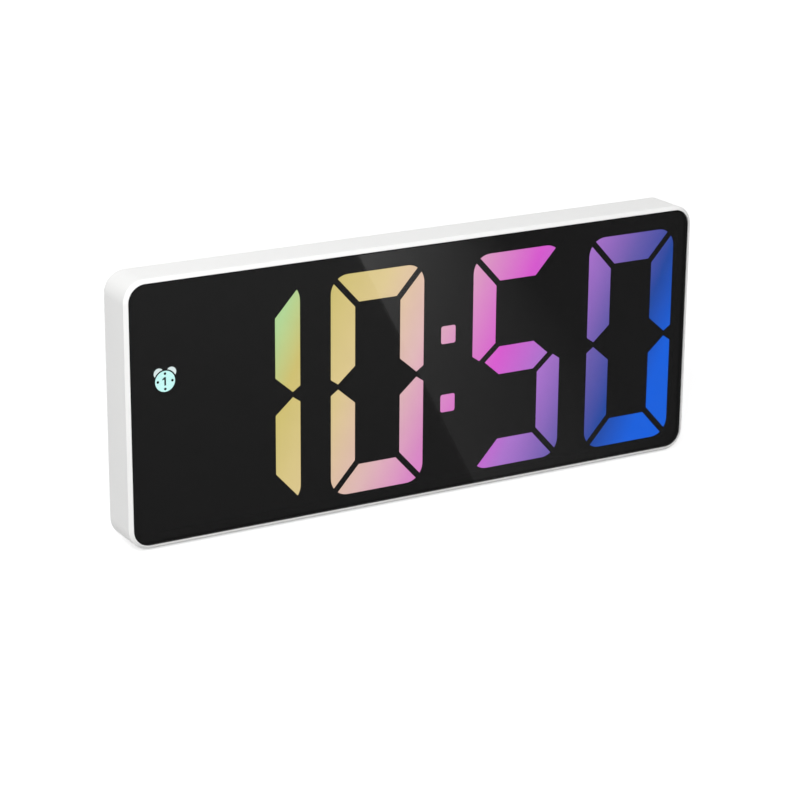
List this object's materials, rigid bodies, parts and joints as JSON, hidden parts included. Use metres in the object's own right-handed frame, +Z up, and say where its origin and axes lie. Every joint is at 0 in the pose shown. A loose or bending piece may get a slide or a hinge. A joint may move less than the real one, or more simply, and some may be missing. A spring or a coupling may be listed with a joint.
{
  "type": "digital desk clock",
  "caption": "Slim white digital desk clock with a dark glossy front, large colour-graded seven-segment figures, back buttons and a battery plinth with a sliding door.",
  "frame": {"origin": "middle of the bounding box on the floor plane under the feet", "axes": "+X to the right as seen from the front, +Y towards the back, +Z up; the display faces -Y"},
  "size_m": [0.1622, 0.0248, 0.0676],
  "materials": {
    "white_shell": "fine-grained moulded white",
    "white_button": "smooth moulded white",
    "smoked_lens": "polished dark acrylic",
    "black_tape": "black adhesive tape",
    "film_black": "printed black film",
    "window_green": "lit tinted window",
    "window_gold": "lit tinted window",
    "window_pink": "lit tinted window",
    "window_blue": "lit tinted window",
    "window_cyan": "lit tinted window",
    "window_dark": "unlit tinted window",
    "reflector_black": "moulded black",
    "lamp_yellow": "cast resin lamp",
    "board_green": "solder mask",
    "chip_black": "moulded chip package",
    "tinned_metal": "tinned",
    "crystal_can": "drawn can",
    "capacitor_amber": "moulded capacitor",
    "resistor_dark": "film resistor",
    "switch_black": "moulded switch",
    "plunger_tan": "moulded plunger",
    "screw_steel": "plated",
    "socket_steel": "stamped and plated",
    "tongue_black": "moulded",
    "buzzer_black": "moulded",
    "cell_sleeve": "plain printed sleeve",
    "contact_nickel": "nickel plated",
    "foot_rubber": "soft pad"
  },
  "bodies": {
    "case": {"front_housing": "white_shell", "rear_cover": "white_shell", "front_lens": "smoked_lens", "lens_tape": "black_tape", "printed_film": "film_black", "hour_tens_lit_windows": "window_green", "hour_units_lit_windows": "window_gold", "minute_tens_lit_windows": "window_pink", "minute_units_lit_windows": "window_blue", "hour_tens_dark_windows": "window_dark", "hour_units_dark_windows": "window_dark", "minute_tens_dark_windows": "window_dark", "minute_units_dark_windows": "window_dark", "colon_windows": "window_gold", "alarm_icon_windows": "window_cyan", "reflector_frame": "reflector_black", "segment_lamps": "lamp_yellow", "main_board": "board_green", "controller_chip": "chip_black", "driver_chip": "chip_black", "chip_pins": "tinned_metal", "quartz_crystal": "crystal_can", "board_capacitors": "capacitor_amber", "segment_resistors": "resistor_dark", "key_switches": "switch_black", "cover_screws": "screw_steel", "power_board_screws": "screw_steel", "power_board": "board_green", "usb_socket_shell": "socket_steel", "usb_socket_tongue": "tongue_black", "buzzer": "buzzer_black", "header_body": "chip_black", "header_pins": "tinned_metal", "battery_cells": "cell_sleeve", "contact_positive": "contact_nickel", "contact_negative": "contact_nickel", "contact_bridge_left": "contact_nickel", "contact_bridge_right": "contact_nickel", "contact_springs": "contact_nickel", "rubber_feet": "foot_rubber"},
    "mode_key": {"mode_button": "white_button", "mode_plunger": "plunger_tan"},
    "set_key": {"set_button": "white_button", "set_plunger": "plunger_tan"},
    "up_key": {"up_button": "white_button", "up_plunger": "plunger_tan"},
    "down_key": {"down_button": "white_button", "down_plunger": "plunger_tan"},
    "door": {"battery_door": "white_shell"}
  },
  "joints": [
    {"name": "mode_press", "type": "slide", "parent": "case", "child": "mode_key", "axis": [0, -1, 0], "range_m": [0, 0.0004], "stiffness_N_per_m": 500},
    {"name": "set_press", "type": "slide", "parent": "case", "child": "set_key", "axis": [0, -1, 0], "range_m": [0, 0.0004], "stiffness_N_per_m": 500},
    {"name": "up_press", "type": "slide", "parent": "case", "child": "up_key", "axis": [0, -1, 0], "range_m": [0, 0.0004], "stiffness_N_per_m": 500},
    {"name": "down_press", "type": "slide", "parent": "case", "child": "down_key", "axis": [0, -1, 0], "range_m": [0, 0.0004], "stiffness_N_per_m": 500},
    {"name": "battery_door_slide", "type": "slide", "parent": "case", "child": "door", "axis": [-1, 0, 0], "range_m": [0, 0.058]}
  ]
}
